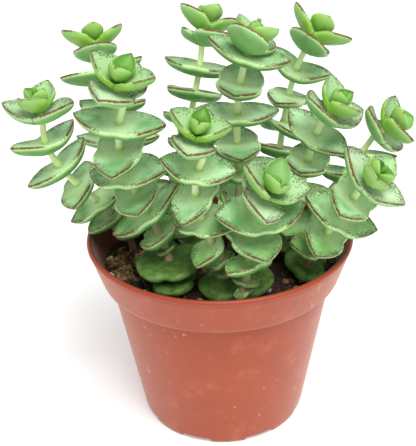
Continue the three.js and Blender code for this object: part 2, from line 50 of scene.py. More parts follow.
# Pot, in millimetres as the rest of the sizes
RIM_RADIUS = 52.5
POT_HEIGHT = 80
WALL = 1.4
BEAD_RADIUS = 1.05
# The collar's smooth part ends this far under the rim
BEAD_BAND = 2.6
COLLAR_HEIGHT = 16.8
COLLAR_STEP = POT_HEIGHT - COLLAR_HEIGHT
COLLAR_TOP_RADIUS = RIM_RADIUS - 0.6
COLLAR_FOOT_RADIUS = 47.9
BODY_TOP_RADIUS = 44.5
BASE_RADIUS = 33.8
FLOOR_LIFT = 2
CENTRE_DISC_RADIUS = 16
FOOT_RING_RADIUS = 31
FEET = 8
FOOT_PHASE = 2
# Width of the slopes beside a notch, as a share of the pitch of the feet
NOTCH_SLOPE = 0.03
DRAIN_RADIUS = 3.5
DRAIN_CIRCLE = 24.5
DRAIN_SIDES = 32
DRAIN_SPAN = (-1, FLOOR_LIFT + WALL + 1)
POT_SEGMENTS = 192
POT_SHARP_ANGLE = 40

# Soil
SOIL_TOP = 67
SOIL_GAP = 0.35
SOIL_BUMP = 0.45
SOIL_RADIUS = COLLAR_FOOT_RADIUS - 1.5
SOIL_SEGMENTS = 200
SOIL_RINGS = 64
# Noise over the soil: turns in a millimetre, height and where it is read
SOIL_CRUMBS = ((0.5, 0.5, 1.7), (1.3, 0.3, 4.1))

# Loose grains: lift is a share of the size, levels is how often a ball's faces are halved, and patch is
# where a patch lies and how wide it is
GRAINS = (
    dict(name="peat_crumbs", kind="peat", count=900, seed=11, sizes=(0.5, 1.5), stretch=(0.6, 1.1), lift=0.1,
         levels=1, roughness=0.7),
    dict(name="perlite", kind="perlite", count=46, seed=12, sizes=(0.5, 1.3), stretch=(0.7, 1.1), lift=0.3,
         levels=2, roughness=0.5),
    dict(name="bark", kind="bark", count=120, seed=13, sizes=(0.7, 1.9), stretch=(0.25, 1.1), lift=0.3,
         levels=1, roughness=0.5),
    dict(name="bark_patch", kind="bark", count=160, seed=14, sizes=(0.5, 1.7), stretch=(0.3, 1.1), lift=0.3,
         levels=1, roughness=0.6, patch=((-37, -4), 7)),
)
GRAIN_REACH = SOIL_RADIUS - 1.5
GRAIN_SHARP_ANGLE = 35

# Stems
STEM_FOOT = SOIL_TOP + 1
ROOT_DEPTH = 10
STEM_BASE_RADIUS = 1.5
STEM_TIP_RADIUS = 1.15
PATH_STEPS = 160
NECK_STEPS = 10
STALK_SIDES = 12
# Collar of a stem over each pair of leaves
SOCKET_SWELL = 0.4
SOCKET_LIFT = 0.7
SOCKET_WIDTH = 0.9
SOCKET_RANGE = 6

# Leaves
LEAF_THICKNESS = 5
YOUNG_THICKNESS = 3.2
OLD_THICKNESS = 5.2
STUB_THICKNESS = 3.4
TIP_THINNING = 0.35
# Outline: how far the sides stay full, how round the end is, and the waist where two leaves join
FULLNESS = 2.6
STUB_ROUNDNESS = 0.7
OLD_ROUNDNESS = 0.55
WAIST = 0.88
WAIST_REACH = 0.16
YOUNG_WAIST = 0.5
YOUNG_WAIST_REACH = 0.3
# How softly the rise of a leaf starts at the stem
BEND = 0.15
LEAF_BREADTH = 1.12
YOUNG_BREADTH = 1.16
LOW_RISE = 2
# The rosette's pairs by age, from full grown at 0 to the youngest: age, height over the rosette's foot,
# share of the full leaf length, rise in degrees and how cupped the leaf is
GROWTH = (
    (0, 0, 1, 9, 0.25), (1, 4.8, 1, 23, 0.6), (1.5, 6, 0.8, 29, 0.8), (2, 7.2, 0.6, 35, 1),
    (2.5, 7.8, 0.4, 42, 1), (3, 8.4, 0.25, 48, 1),
)
INNER_SPREAD = 1.15
SHRINK_HEIGHT = 26
LOWEST_PAIR = SOIL_TOP + 7
LOW_CROWDING = 0.8
# Room on the stem over its highest stub or disc
LOW_ROOM = 4
SEARCH_STEP = 0.2

# Bud in the middle of a rosette
BUD_LIFT = 5.6
BUD_LENGTH = 5.6
BUD_RADIUS = 2.1
BUD_WANE = 1.35
BUD_FLATNESS = 0.75
BUD_SIDES = 28
BUD_HEIGHTS = (0.04, 0.97, 14)
SLIT_DEPTH = 0.3
SLIT_WIDTH = 0.2
NOTCH_DEPTH = 1.1
NOTCH_WIDTH = 0.4

# Ages that the colours of leaves follow, from the bud down to the old discs
BUD_AGE = 0.1
ROSETTE_AGE = 0.75
AGE_STEP = 0.25
FIRST_AGE = 0.85
GROWN_AGE = 1
LOW_AGING = 0.5
STUB_AGE = 1.3
OLD_AGE = 2
# Ages between which the colours turn to those of the next stage
SECOND_FROM = (0.2, 0.3)
OUTER_FROM = (0.44, 0.56)
GROWN_FROM = (0.72, 0.86)
OLD_FROM = (1.55, 1.9)
# Heights between which the leaves turn from fresh green to blue green
LOW_LEAVES = (84, 116)

# The rule that keeps one stem's leaves off the next, as in the solid model
LEAF_GAP = 0.6
SOIL_ROOM = 1.2
RIM_ROOM = 0.5
POT_ROOM_RADIUS = 46.8
FEELER_ROWS = ((0.08, 4), (0.25, 4), (0.4, 4), (0.53, 4), (0.66, 3), (0.78, 2), (0.9, 1), (1, 0))
FEELER_SPREAD = 0.9
FEELER_DEPTH = (0.03, 0.21)
FEELER_RADIUS = (0.27, 0.13)
YOUNG_CUP = 0.55
FEELER_RANGE = 18
# Changes that a leaf may make to clear the way, in degrees and in tenths of its length
RISE_CHANGES = range(-36, 61, 6)
SWING_CHANGES = range(-24, 25, 8)
LENGTH_TENTHS = range(10, 3, -1)
TENTH_COST = 9

# Half sections across a leaf, from the middle of its face over the ridge to the middle of its underside:
# share of the half width, and height over the middle in thicknesses
MATURE_SECTION = (
    (0, 0.08), (0.3, 0.09), (0.58, 0.125), (0.8, 0.18), (0.91, 0.225), (0.955, 0.245), (0.985, 0.215),
    (1, 0.12), (1, -0.02), (0.965, -0.17), (0.88, -0.32), (0.7, -0.5), (0.4, -0.66), (0, -0.72),
)
YOUNG_SECTION = (
    (0, 0), (0.3, 0.05), (0.58, 0.26), (0.8, 0.56), (0.91, 0.77), (0.955, 0.85), (0.99, 0.83), (1.01, 0.7),
    (1, 0.52), (0.965, 0.32), (0.88, 0.1), (0.7, -0.24), (0.4, -0.58), (0, -0.75),
)
OLD_SECTION = (
    (0, 0.1), (0.3, 0.14), (0.58, 0.18), (0.76, 0.17), (0.87, 0.11), (0.93, 0.04), (0.975, -0.07), (1, -0.2),
    (0.99, -0.31), (0.955, -0.41), (0.88, -0.51), (0.7, -0.62), (0.4, -0.71), (0, -0.74),
)
RIDGE = 5
# How much of its cup a pair has where its leaves join, and how far out it has all of it
JOINT_CUP = 0.1
CUP_REACH = 0.35
YOUNG_TIP_LIFT = 0.4
TIP_LIFT = 0.16
OLD_TIP_LIFT = 0
LEAF_RINGS = 45
END_ROUNDNESS = 6
# How far out the two leaves of a pair run into each other, and how much less where they are cupped
BLEND_REACH = 0.3
CUPPED_BLEND = 0.6
LEAF_TWIST = 0.04
LEAF_SWAY = 0.03
# Ripples along a leaf's margin: height in thicknesses, and turns
RIPPLES = ((0.02, 5), (0.015, 9))
STEM_SEED = 100

# Colours as a screen shows them, two digits each for red, green and blue, mostly as a range of two tones
LOW_FACE = ("6aaa46", "a0d470")
GROWN_FACE = ("70a664", "b0d6a4")
OUTER_FACE = ("a0c68e", "c0d8b0")
SECOND_FACE = ("8cc446", "a4ca8e")
INNER_FACE = ("609a2e", "80b456")
# Painted light: a paler upper face near the stem, lifting the shade under the rosette above
FACE_LIGHT_NEAR_STEM = "d2f0b4"
GROWN_RIM = ("9acc6a", "bce092")
# Painted shade: the darker underside of grown leaves
GROWN_UNDERSIDE_SHADE = ("528842", "78aa64")
OUTER_RIM = "aed68e"
# Painted shade: the darker underside of the outer pairs
OUTER_UNDERSIDE_SHADE = ("6ca654", "92c27c")
SECOND_SIDE = ("94c63a", "8ebc66")
INNER_SIDE = ("70a62e", "8eba5a")
MARGIN = "a0cc80"
SHADED_RIM = "b0d670"
SHADED = ("528a38", "7cb456")
DISC_SIDE = "5c8a38"
DISC_FACE = ("426228", "688e44")
# Painted shade: a darker line in the crease where the two leaves of a young pair join
CREASE_SHADE = "4a7c24"
# Painted highlight: a pale line along the crest of the margin
CREST_HIGHLIGHT = "d8eec4"
FAINT_DOTS = "588c4e"
FLECKS = "cee4be"
DARK_DOTS = ("4a6436", "3c3624")
RED_LINE = ("783e24", "4a2614")
STALK_TOP = ("def0a8", "eef8cc")
STALK_FOOT = ("8c6852", "bea080")
SOCKET_GREEN = "96c446"
PLASTIC = ("963a19", "a44824")
HAZE = "c87a5a"
SCUFFS = "e2b09c"
# Rim bead: painted shade on its inner half, running out to the bead's brown
BEAD_WITH_LIP_SHADE = ("622616", "96381a")
# Painted shade on the inner wall of the pot
INNER_WALL_SHADE = ("58281a", "8c442c")
EARTH = dict(soil=("18120e", "423226"), peat=("140e0b", "543c2a"),
             perlite=("968e80", "e4e0d6"), bark=("543820", "b28e5c"))
FLOOR_WHITE = ("ececec", "f0f0f0")

# The stems, in the order in which they take their room: foot, two guide points, the bend under the rosette,
# the rosette's foot, lean, age from 0 to 1 and leaf length, distance to the first pair under the rosette and
# between pairs, length of the grown leaves and share of it left at the soil, azimuth of each pair from the
# rosette's second pair down, how far the grown pairs tilt from square to the stem, rise of their leaves,
# height and leaf length of the stubby pairs near the soil, and height, leaf length and breadth of old discs
STEMS = (
    dict(name="stem_f", foot=(7, -25), low=(0, -31), high=(-15, -32), tip=(-5.3, -37.6, 128),
         crown=(-7.8, -36.5, 133.6), lean=(0.24, -0.26), stage=0.4, young=14.5, first=11.7, gap=11, leaf=13.6,
         shrink=-0.1, turns=(-11, -101, -11, -116, -32, -105, 0, 10, 175), tilt=(-0.19, -0.11),
         rises=(10, -5, 5, 9), stubs=((77.5, 6),), discs=((72.6, 14.4, 1.45),)),
    dict(name="stem_c", foot=(-17, -27), low=(-20, -6), high=(-42, -27), tip=(-31.6, -26.9, 143.4),
         crown=(-33.5, -26, 148.3), lean=(0.28, -0.23), stage=0.3, young=15.5, first=12.6, gap=10.2,
         leaf=16.4, shrink=-0.1, turns=(-21, -112, -10, -100, -21, -89, 3, 81, 55, 170, 80), tilt=(-0.11, 0),
         rises=(6, 1, -2, 6, -6, 8), stubs=((83.2, 5),), discs=((78.5, 13, 2), (72.6, 11.5, 1.4))),
    dict(name="stem_i", foot=(6, -38.5), low=(10, -40.2), high=(10.5, -29), tip=(15, -41, 111.4),
         crown=(13.8, -40.2, 114), lean=(0.64, -0.33), stage=0.04, young=15, first=10.3, gap=9.8, leaf=16.6,
         shrink=-0.15, turns=(3, -82, 11, -75, 45), tilt=(-0.16, 0), rises=(11, -3, -6),
         stubs=((79.5, 6.2), (75.2, 4.8))),
    dict(name="stem_e", foot=(4, 6), low=(13, 0), high=(2, 4), tip=(12.4, -2, 154.4), crown=(12, -2.6, 155.2),
         lean=(0.45, 0.28), stage=0.79, young=15.4, first=4.1, gap=12.1, leaf=15.8, shrink=1,
         turns=(-29, -117, -6, -100, -1, -85), rises=(9, 9, 7)),
    dict(name="stem_h", foot=(26, 2), low=(31, -11), high=(32, 1), tip=(38, -12.2, 130.6),
         crown=(39.6, -13.4, 132.7), lean=(0.65, -0.16), stage=0.53, young=15.8, first=11.6, gap=12.8,
         leaf=14.5, shrink=1, turns=(-55, 28, -46, -108, -20), rises=(7, 10, 6, 4)),
    dict(name="stem_j", foot=(33, -17), low=(33, -22), high=(43, -28), tip=(49.1, -33.9, 114),
         crown=(50.3, -35, 115.5), lean=(0.8, -0.45), stage=0.62, young=15.1, first=9.1, gap=10, leaf=15.3,
         shrink=0.7, turns=(-117, -25, -118, -10, -107, 10), tilt=(0.1, -0.07), rises=(10, 6, 5, 4),
         discs=((72.6, 12.5, 1.4),)),
    dict(name="stem_a", foot=(-36, 10), low=(-36.3, 7.2), high=(-66.5, -5.3), tip=(-63.9, -4.2, 127.6),
         crown=(-64.4, -4.1, 132.2), lean=(-0.1, 0), stage=0.58, young=15.5, first=11.6, gap=11.1, leaf=14.6,
         shrink=0.7, turns=(70, -16, -140, 31, -102, 6, 46), tilt=(0, 0.14), rises=(16, 9, 0, -3, -2)),
    dict(name="stem_g", foot=(18, 20), low=(26, 16), high=(27, 46), tip=(35.9, 32.9, 141.6),
         crown=(37.1, 32.6, 144), lean=(0.71, 0.25), stage=0.11, young=15.7, first=12.8, gap=11.1, leaf=14.6,
         shrink=1, turns=(-12, -117, -18, -117, -59, 50), tilt=(0.07, -0.11), rises=(20, -4, -13, 4)),
    dict(name="stem_b", foot=(-22, 22), low=(-48, 29), high=(-34, 19), tip=(-47.1, 33.8, 141.7),
         crown=(-46.8, 33.1, 142.6), lean=(-0.1, 0.34), stage=0.27, young=15.4, first=9.5, gap=13.1,
         leaf=17.2, shrink=0.9, turns=(15, -76, 8, -33, -8), tilt=(0.08, 0.04), rises=(11, 9, 3)),
    dict(name="stem_k", foot=(38, 12), low=(36, 12), high=(53, 14), tip=(62.6, 16, 112.2),
         crown=(63.8, 13.5, 114), lean=(1.41, -0.23), stage=0.11, young=14.9, first=13, gap=11, leaf=14.5,
         shrink=1, turns=(-57, 8, -10, -75), tilt=(-0.6, 0.15), rises=(4, 4)),
    dict(name="stem_d", foot=(-2, 22), low=(-23, 12), high=(-7, 38), tip=(-4.8, 36, 143.4),
         crown=(-3.9, 35.6, 147.3), lean=(0.3, 0.46), stage=0, young=13.4, first=12.3, gap=10.4, leaf=15.1,
         shrink=1, turns=(17, -52, -16, 43, -44, 59), rises=(4, 2, 1, 7)),
    dict(name="stem_l", foot=(-8, 3), low=(-9, 3), high=(-12, 1), tip=(-11, 1, 95), crown=(-11, 1, 97),
         lean=(0.1, -0.2), stage=0.3, young=12, first=8.5, gap=8.5, leaf=13, shrink=0.9, turns=(20, -70, -60),
         rises=(8, 6)),
)


# Stems and where their pairs of leaves stand

def unit(v):
    return v / np.linalg.norm(v)


def lerp(a, b, share):
    return a + (b - a) * share


def smooth_step(x):
    x = np.clip(x, 0, 1)
    return x * x * (3 - 2 * x)


def around(count):
    """Angles spread evenly round a circle."""
    return np.linspace(0, 2 * np.pi, count, endpoint=False)


def stem_path(stem):
    """Points up the stem: a curve from the foot to the bend, then straight to the rosette."""
    keys = ("foot", "low", "high", "tip")
    foot, low, high, tip = (np.array(stem[key][:2], float) for key in keys)
    t = np.linspace(0, 1, PATH_STEPS + 1)[:, None]
    flat = foot * (1 - t) ** 3 + 3 * low * t * (1 - t) ** 2 + 3 * high * t**2 * (1 - t) + tip * t**3
    curve = np.hstack([flat, lerp(STEM_FOOT, stem["tip"][2], t)])
    share = np.linspace(0, 1, NECK_STEPS + 1)[1:, None]
    return np.concatenate([curve, lerp(curve[-1], np.array(stem["crown"]), share)])


def on_stem(points, distance):
    """Point and direction of the stem at a distance down from its tip."""
    last = len(points) - 1
    k = last
    walked = 0.0
    step = np.linalg.norm(points[k] - points[k - 1])
    while k > 1 and walked + step < distance:
        walked += step
        k -= 1
        step = np.linalg.norm(points[k] - points[k - 1])
    share = min((distance - walked) / step, 1)
    point = lerp(points[k], points[k - 1], share)
    return point, unit(points[min(k + 2, last)] - points[max(k - 3, 0)])


def pair_azimuth(stem, level):
    turns = stem["turns"]
    k = level + 2
    if k < 0:
        return turns[0] - 90 * k
    return turns[k] if k < len(turns) else turns[-1] + 90 * (k - len(turns) + 1)


def pair_rise(stem, level):
    return stem["rises"][level] if level < len(stem["rises"]) else LOW_RISE


def young_pair(stem, level, axis):
    """A pair of the rosette: level -1 is the outer one and -3 the inner one."""
    ages, lifts, sizes, rises, cups = np.array(GROWTH, float).T
    age = stem["stage"] - 1 - level
    lift = np.interp(age, ages, lifts) - np.interp(stem["stage"], ages, lifts)
    cup = np.interp(age, ages, cups)
    return dict(level=level, axis=axis, point=np.array(stem["crown"]) + axis * lift, kind="young", cup=cup,
                length=stem["young"] * np.interp(age, ages, sizes), rise=np.interp(age, ages, rises),
                breadth=YOUNG_BREADTH, thickness=lerp(LEAF_THICKNESS, YOUNG_THICKNESS, cup),
                roundness=1, age=ROSETTE_AGE - AGE_STEP * age)


def low_pairs(stem):
    """The stubs and discs of a stem, from the top: height and what sets them apart from the other pairs."""
    stubs = [(z, dict(length=length, kind="mature", breadth=LEAF_BREADTH, thickness=STUB_THICKNESS,
                      roundness=STUB_ROUNDNESS, age=STUB_AGE)) for z, length in stem.get("stubs", ())]
    discs = [(z, dict(length=length, kind="old", breadth=breadth, thickness=OLD_THICKNESS,
                      roundness=OLD_ROUNDNESS, age=OLD_AGE)) for z, length, breadth in stem.get("discs", ())]
    return stubs + discs


def pairs_of(stem):
    """The path of a stem and every pair: levels -3 to -1 in the rosette, 0 under it, and so on down."""
    points = stem_path(stem)
    crown_axis = unit(np.array([*stem["lean"], 1.0]))
    pairs = [young_pair(stem, level, crown_axis) for level in (-1, -2, -3)]
    low = low_pairs(stem)
    lowest = low[0][0] + LOW_ROOM if low else LOWEST_PAIR
    level = 0
    distance = stem["first"]
    tilt = np.array([*stem.get("tilt", (0, 0)), 0])
    point, axis = on_stem(points, distance)
    while point[2] > lowest:
        height = min((point[2] - SOIL_TOP) / SHRINK_HEIGHT, 1)
        share = lerp(stem["shrink"], 1, height)
        pairs.append(dict(level=level, axis=unit(axis / axis[2] + tilt), point=point, kind="mature", cup=0,
                          length=share * stem["leaf"], rise=pair_rise(stem, level), breadth=LEAF_BREADTH,
                          thickness=LEAF_THICKNESS, roundness=1,
                          age=(GROWN_AGE if level else FIRST_AGE) + LOW_AGING * (1 - height)))
        distance += stem["gap"] * (LOW_CROWDING if height < 1 else 1)
        point, axis = on_stem(points, distance)
        level += 1
    for z, shape in low:
        for step in (SEARCH_STEP, -SEARCH_STEP):
            while (point[2] - z) * step > 0:
                distance += step
                point, _ = on_stem(points, distance)
        pairs.append(dict(shape, level=level, axis=unit(tilt + (0, 0, 1)), point=point, cup=0, rise=LOW_RISE))
        level += 1
    for pair in pairs:
        pair["azimuth"] = pair_azimuth(stem, pair["level"])
    return dict(stem=stem, points=points, crown=points[-1], crown_axis=crown_axis, pairs=pairs)


# Leaves

@dataclass
class Leaf:
    """One leaf of a pair: the ways it points and spreads, its rise and its length."""
    pair: dict
    out: np.ndarray
    side: np.ndarray
    rise: float
    length: float

    def half_width(self, s):
        cup = self.pair["cup"]
        narrow = lerp(WAIST, YOUNG_WAIST, cup)
        reach = lerp(WAIST_REACH, YOUNG_WAIST_REACH, cup)
        waist = 1 - (1 - narrow) * np.exp(-(s / reach) ** 2)
        taper = (1 - np.abs(s) ** FULLNESS) ** self.pair["roundness"]
        return self.length * self.pair["breadth"] * waist * taper / 2

    def depth(self, s):
        return self.pair["thickness"] * (1 - TIP_THINNING * s * s)

    def at(self, s, q, lift):
        """Points: s from the stem to the tip, q across from -1 to 1, lift in thicknesses over the middle."""
        axis = self.pair["axis"]
        span = math.sqrt(1 + BEND * BEND) - BEND
        bend = np.sqrt(s * s + BEND * BEND)
        forward = math.cos(self.rise)
        climb = math.sin(self.rise) * s / (bend * span)
        normal = forward * axis - climb[:, None] * self.out
        normal = normal / np.linalg.norm(normal, axis=-1, keepdims=True)
        return (self.pair["point"]
                + (self.length * s * forward)[:, None] * self.out
                + (self.length * math.sin(self.rise) * (bend - BEND) / span)[:, None] * axis
                + (q * self.half_width(s))[:, None] * self.side
                + (lift * self.depth(s))[:, None] * normal)


def make_leaf(pair, azimuth, rise, length):
    a = math.radians(azimuth)
    out = np.array([math.cos(a), math.sin(a), 0.0])
    out = unit(out - pair["axis"] * np.dot(out, pair["axis"]))
    return Leaf(pair, out, np.cross(pair["axis"], out), math.radians(rise), length)


def feelers():
    places = [(s, (k / n - 1) * FEELER_SPREAD if n else 0) for s, n in FEELER_ROWS for k in range(2 * n + 1)]
    return np.array(places, float).T


def balls_of(leaf, places):
    s, q = places
    bulge = 1 - q * q
    lift = leaf.pair["cup"] * YOUNG_CUP * q * q - FEELER_DEPTH[0] - FEELER_DEPTH[1] * bulge
    return leaf.at(s, q, lift), leaf.depth(s) * (FEELER_RADIUS[0] + FEELER_RADIUS[1] * bulge)


def is_clear(balls, others):
    centres, radii = balls
    low = centres[:, 2] - radii
    reach = np.hypot(centres[:, 0], centres[:, 1]) + radii
    over_rim = (low < POT_HEIGHT + RIM_ROOM) & (reach > POT_ROOM_RADIUS)
    if np.any(over_rim | (low < SOIL_TOP + SOIL_ROOM)):
        return False
    middle = centres[len(centres) // 3]
    near = np.sum((others[0] - middle) ** 2, axis=1) <= FEELER_RANGE**2
    gaps = np.linalg.norm(centres[:, None] - others[0][None, near], axis=2)
    return not np.any(gaps < radii[:, None] + others[1][None, near] + LEAF_GAP)


def leaf_changes():
    """Changes a leaf may make, the least first: rise and swing in degrees, and share of its length."""
    changes = []
    for rise, swing, size in product(RISE_CHANGES, SWING_CHANGES, LENGTH_TENTHS):
        tie = 2 * (rise < 0) + (swing < 0)
        cost = abs(rise) + abs(swing) + TENTH_COST * (10 - size) + tie
        changes.append((cost, size / 10, rise, swing))
    return sorted(changes, key=lambda change: change[:3])


def first_clear_leaf(pair, half, others, changes, places):
    for _, size, rise, swing in changes:
        leaf = make_leaf(pair, pair["azimuth"] + half + swing, pair["rise"] + rise, pair["length"] * size)
        balls = balls_of(leaf, places)
        if is_clear(balls, others):
            return leaf, balls
    return None, None


def gathered(filled):
    """All centres and all radii of the balls of several stems."""
    return [np.concatenate([array for balls in filled for array in balls[part]]) for part in (0, 1)]


def grow_leaves(plants):
    """Gives every pair its two leaves, and returns all the balls that fill stems and leaves."""
    places = feelers()
    changes = leaf_changes()
    filled = []
    for plant in plants:
        axis = plant["points"][::3]
        filled.append([[axis], [np.full(len(axis), float(STEM_BASE_RADIUS))]])
    levels = [pair["level"] for plant in plants for pair in plant["pairs"]]
    for level in range(min(levels), max(levels) + 1):
        for index, plant in enumerate(plants):
            for pair in (p for p in plant["pairs"] if p["level"] == level):
                others = gathered([balls for k, balls in enumerate(filled) if k != index])
                pair["leaves"] = []
                for half in (0, 180):
                    leaf, balls = first_clear_leaf(pair, half, others, changes, places)
                    pair["leaves"].append(leaf)
                    if leaf:
                        filled[index][0].append(balls[0])
                        filled[index][1].append(balls[1])
    return gathered(filled)


# Meshes

def add_object(name, data):
    piece = bpy.data.objects.new(name, data)
    bpy.context.scene.collection.objects.link(piece)
    return piece


class Body:
    """Points, faces, face slots and named numbers at the points, gathered for one object."""

    def __init__(self, *numbers):
        self.points, self.faces, self.slots = [], [], []
        self.numbers = {name: [] for name in numbers}
        self.count = 0

    def add(self, points, faces, slot=0, **numbers):
        self.points.append(points)
        self.faces += [tuple(self.count + k for k in face) for face in faces]
        self.slots += [slot] * len(faces)
        for name, values in self.numbers.items():
            values.append(np.broadcast_to(np.asarray(numbers.get(name, 0.0), float), len(points)))
        self.count += len(points)

    def make(self, name, materials, sharp=None):
        mesh = bpy.data.meshes.new(name)
        mesh.from_pydata((np.concatenate(self.points) * MM).tolist(), [], self.faces)
        for material in materials:
            mesh.materials.append(material)
        mesh.polygons.foreach_set("material_index", self.slots)
        mesh.polygons.foreach_set("use_smooth", [True] * len(self.faces))
        if sharp:
            mesh.set_sharp_from_angle(angle=math.radians(sharp))
        for number, values in self.numbers.items():
            attribute = mesh.attributes.new(number, "FLOAT", "POINT")
            attribute.data.foreach_set("value", np.concatenate(values).astype(np.float32))
        mesh.update()
        return add_object(name, mesh)


def skin(rings, start, end):
    """A closed skin over rings of points, from a start point to an end point, with its faces pointing out."""
    count = len(rings[0])
    points = np.concatenate([*rings, [start, end]])
    first, last = len(points) - 2, len(points) - 1
    top = first - count
    faces = []
    for k in range(count):
        n = (k + 1) % count
        faces += [(row + k, row + n, row + count + n, row + count + k) for row in range(0, top, count)]
        faces.append((first, n, k))
        faces.append((last, top + k, top + n))
    a, b, c = (points[[face[k] for face in faces]] - points[0] for k in range(3))
    if np.sum(a * np.cross(b, c)) < 0:
        faces = [face[::-1] for face in faces]
    return points, faces


def section_of(pair, s):
    """Half section across the leaves of a pair, and the height of their tips in thicknesses."""
    if pair["kind"] == "old":
        return np.array(OLD_SECTION), OLD_TIP_LIFT
    flat, cupped = np.array(MATURE_SECTION), np.array(YOUNG_SECTION)
    cup = pair["cup"] * lerp(JOINT_CUP, 1, min(s / CUP_REACH, 1))
    return lerp(flat, cupped, cup), lerp(TIP_LIFT, YOUNG_TIP_LIFT, pair["cup"])


def edge_distances(leaf, s, section, rise_share):
    """Millimetres from the ridge at each point of a section: above 0 on the upper face, below 0 under it."""
    steps = np.diff(section, axis=0) * (leaf.half_width(s), leaf.depth(s) * rise_share)
    walked = np.concatenate([[0], np.cumsum(np.linalg.norm(steps, axis=1))])
    right = walked[RIDGE] - walked
    return np.concatenate([right, right[1:-1][::-1]])


def add_pair(body, pair, random):
    """Two leaves joined round the stem, as one closed skin from tip to tip."""
    first, second = pair["leaves"]
    if pair["level"] == -3:
        first, second = (replace(leaf, length=leaf.length * INNER_SPREAD) for leaf in (first, second))
    places = np.sin(np.pi / 2 * np.linspace(-1, 1, LEAF_RINGS + 2)[1:-1])
    twist = random.uniform(-LEAF_TWIST, LEAF_TWIST, 2)
    sway = random.uniform(-LEAF_SWAY, LEAF_SWAY, 2)
    waves = random.uniform(0, 2 * np.pi, 4)
    reach = BLEND_REACH * (1 - CUPPED_BLEND * pair["cup"])
    rings, edges = [], []
    for t in places:
        half, tip_lift = section_of(pair, abs(t))
        q, lift = np.concatenate([half, half[1:-1][::-1] * (-1, 1)]).T
        closing = math.sqrt(1 - abs(t) ** END_ROUNDNESS)
        share = float(smooth_step((t + reach) / (2 * reach)))
        ripple = sum(height * math.sin(turns * t + wave) for (height, turns), wave in zip(RIPPLES, waves))
        lifts = tip_lift + (lift - tip_lift) * closing + ripple * q * q
        place = np.full(len(q), t)
        points = np.zeros((len(q), 3))
        for leaf, hand, part, k in ((first, 1, share, 0), (second, -1, 1 - share, 1)):
            turned = lifts + twist[k] * abs(t) * q * leaf.half_width(t) / leaf.depth(t)
            slid = leaf.at(hand * place, hand * q, turned) + sway[k] * t * t * leaf.length * leaf.side
            points += part * slid
        rings.append(points)
        nearer = first if share > 0.5 else second
        edges.append(edge_distances(nearer, t, half, closing))
    end = (np.ones(1), np.zeros(1), np.full(1, float(tip_lift)))
    tips = [leaf.at(*end)[0] + sway[k] * leaf.length * leaf.side for k, leaf in ((1, second), (0, first))]
    points, faces = skin(rings, *tips)
    along = np.concatenate([np.repeat(np.abs(places), len(q)), [1, 1]])
    body.add(points, faces, edge=np.concatenate([*edges, [0, 0]]), along=along, age=pair["age"],
             tint=random.uniform(-1, 1))


def add_bud(body, plant):
    """The closed youngest leaves in the middle of a rosette: two thick lips with a slit between them."""
    base = make_leaf(plant["pairs"][2], pair_azimuth(plant["stem"], -3) + 90, 0, 1)
    axis = base.pair["axis"]
    foot = plant["crown"]
    widest = BUD_RADIUS * (BUD_WANE - plant["stem"]["stage"])
    angles = around(BUD_SIDES)
    slit = np.exp(-(np.cos(angles) / SLIT_WIDTH) ** 2)
    rings, edges = [], []
    for h in np.linspace(*BUD_HEIGHTS):
        radius = widest * math.sin(math.pi * h**0.72) ** 0.6
        groove = radius * (1 - SLIT_DEPTH * smooth_step(h * 2) * slit)
        across = groove * np.cos(angles)
        aside = BUD_FLATNESS * groove * np.sin(angles)
        height = BUD_LIFT + h * BUD_LENGTH - NOTCH_DEPTH * h**3 * np.exp(-(across / NOTCH_WIDTH) ** 2)
        rings.append(foot + np.stack([across, aside, height], 1) @ [base.out, base.side, axis])
        edges.append(np.abs(across))
    start = foot + (BUD_LIFT - 0.3) * axis
    end = foot + (BUD_LIFT + BUD_LENGTH - NOTCH_DEPTH - 0.2) * axis
    points, faces = skin(rings, start, end)
    body.add(points, faces, edge=np.concatenate([*edges, [0, 0]]), along=0.2, age=BUD_AGE)


def add_stalk(body, plant):
    """The stem, with a small collar where it leaves the upper face of each pair."""
    points = plant["points"]
    root = points[0] - [0, 0, ROOT_DEPTH]
    top = plant["crown"] + plant["crown_axis"] * BUD_LIFT
    line = np.concatenate([[root], points[::2], [top]])
    angles = around(STALK_SIDES)
    circle = np.stack([np.cos(angles), np.sin(angles)], 1)
    share = np.linspace(0, 1, len(line))
    radii = lerp(STEM_BASE_RADIUS, STEM_TIP_RADIUS, share)
    socket = np.zeros(len(line))
    for pair in plant["pairs"]:
        if pair["level"] >= 0:
            above = (line - pair["point"]) @ pair["axis"]
            near = np.linalg.norm(line - pair["point"], axis=1) < SOCKET_RANGE
            socket = np.maximum(socket, near * np.exp(-((above - SOCKET_LIFT) / SOCKET_WIDTH) ** 2))
    radii = radii + SOCKET_SWELL * socket
    rings = []
    for k, point in enumerate(line):
        along = unit(line[min(k + 1, len(line) - 1)] - line[max(k - 1, 0)])
        across = unit(np.array([1.0, 0, 0]) - along * along[0])
        rings.append(point + radii[k] * circle @ [across, np.cross(along, across)])
    points, faces = skin(rings, line[0], line[-1])
    body.add(points, faces, 1, along=np.concatenate([np.repeat(1 - share, STALK_SIDES), [1, 0]]),
             edge=np.concatenate([np.repeat(socket, STALK_SIDES), [0, 0]]))


def make_stems(plants, leaf, stalk):
    for index, plant in enumerate(plants):
        random = np.random.default_rng(STEM_SEED + index)
        body = Body("edge", "along", "age", "tint")
        add_stalk(body, plant)
        for pair in plant["pairs"]:
            if None not in pair["leaves"]:
                add_pair(body, pair, random)
        add_bud(body, plant)
        name = plant["stem"]["name"]
        piece = body.make(name + "_grown", [leaf, stalk])
        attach(piece, "root")
        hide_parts(name)


# Pot

